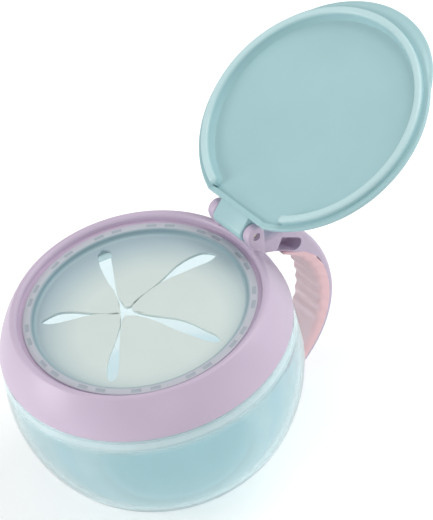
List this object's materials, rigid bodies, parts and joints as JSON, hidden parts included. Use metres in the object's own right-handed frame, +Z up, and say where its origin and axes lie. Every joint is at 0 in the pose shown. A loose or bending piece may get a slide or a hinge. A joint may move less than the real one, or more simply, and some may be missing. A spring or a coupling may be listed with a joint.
{
  "type": "toddler snack container",
  "caption": "Round snack cup with a screw-on collar and grip handle, a soft slit membrane that a small hand pushes through, and a flip lid with a thumb lip.",
  "frame": {"origin": "centre of the flat base, on the surface that the container stands on", "axes": "+Z up, +Y from the bowl's axis to the hinge and the handle, X along the hinge pin; the lid is open on its stop"},
  "size_m": [0.1018, 0.1752, 0.1188],
  "materials": {
    "clear_plastic": "clear tinted, glossy",
    "seal_rubber": "soft translucent",
    "lavender_plastic": "satin",
    "pink_rubber": "soft matte",
    "membrane_rubber": "translucent matte",
    "aqua_plastic": "satin",
    "steel": "plain"
  },
  "bodies": {
    "bowl": {"bowl": "clear_plastic"},
    "seal": {"seal_ring": "seal_rubber"},
    "collar": {"collar": "lavender_plastic", "handle": "lavender_plastic", "handle_grip": "pink_rubber", "membrane_ring": "membrane_rubber", "hinge_pin": "steel"},
    "flap_1": {"flap_1": "membrane_rubber"},
    "flap_2": {"flap_2": "membrane_rubber"},
    "flap_3": {"flap_3": "membrane_rubber"},
    "flap_4": {"flap_4": "membrane_rubber"},
    "flap_5": {"flap_5": "membrane_rubber"},
    "lid": {"lid": "aqua_plastic"}
  },
  "joints": [
    {"name": "collar_lift", "type": "slide", "parent": "bowl", "child": "seal", "axis": [0, 0, 1], "range_m": [0, 0.008]},
    {"name": "collar_turn", "type": "hinge", "parent": "seal", "child": "collar", "pos_m": [0, 0, 0.0602], "axis": [0, 0, 1], "range_deg": [0, 270]},
    {"name": "lid_hinge", "type": "hinge", "parent": "collar", "child": "lid", "pos_m": [0, 0.0432, 0.0788], "axis": [1, 0, 0], "range_deg": [0, 156.7]},
    {"name": "flap_1_bend", "type": "hinge", "parent": "collar", "child": "flap_1", "pos_m": [0.01569, 0.0216, 0.0686], "axis": [0.809, -0.5878, 0], "range_deg": [-8, 60], "stiffness_Nm_per_rad": 0.01},
    {"name": "flap_2_bend", "type": "hinge", "parent": "collar", "child": "flap_2", "pos_m": [-0.01569, 0.0216, 0.0686], "axis": [0.809, 0.5878, 0], "range_deg": [-8, 60], "stiffness_Nm_per_rad": 0.01},
    {"name": "flap_3_bend", "type": "hinge", "parent": "collar", "child": "flap_3", "pos_m": [-0.02539, -0.00825, 0.0686], "axis": [-0.309, 0.9511, 0], "range_deg": [-8, 60], "stiffness_Nm_per_rad": 0.01},
    {"name": "flap_4_bend", "type": "hinge", "parent": "collar", "child": "flap_4", "pos_m": [0, -0.0267, 0.0686], "axis": [-1, 0, 0], "range_deg": [-8, 60], "stiffness_Nm_per_rad": 0.01},
    {"name": "flap_5_bend", "type": "hinge", "parent": "collar", "child": "flap_5", "pos_m": [0.02539, -0.00825, 0.0686], "axis": [-0.309, -0.9511, 0], "range_deg": [-8, 60], "stiffness_Nm_per_rad": 0.01}
  ],
  "couplings": [
    {"joint": "collar_lift", "follows": "collar_turn", "m_per_rad": 0.0016976}
  ]
}
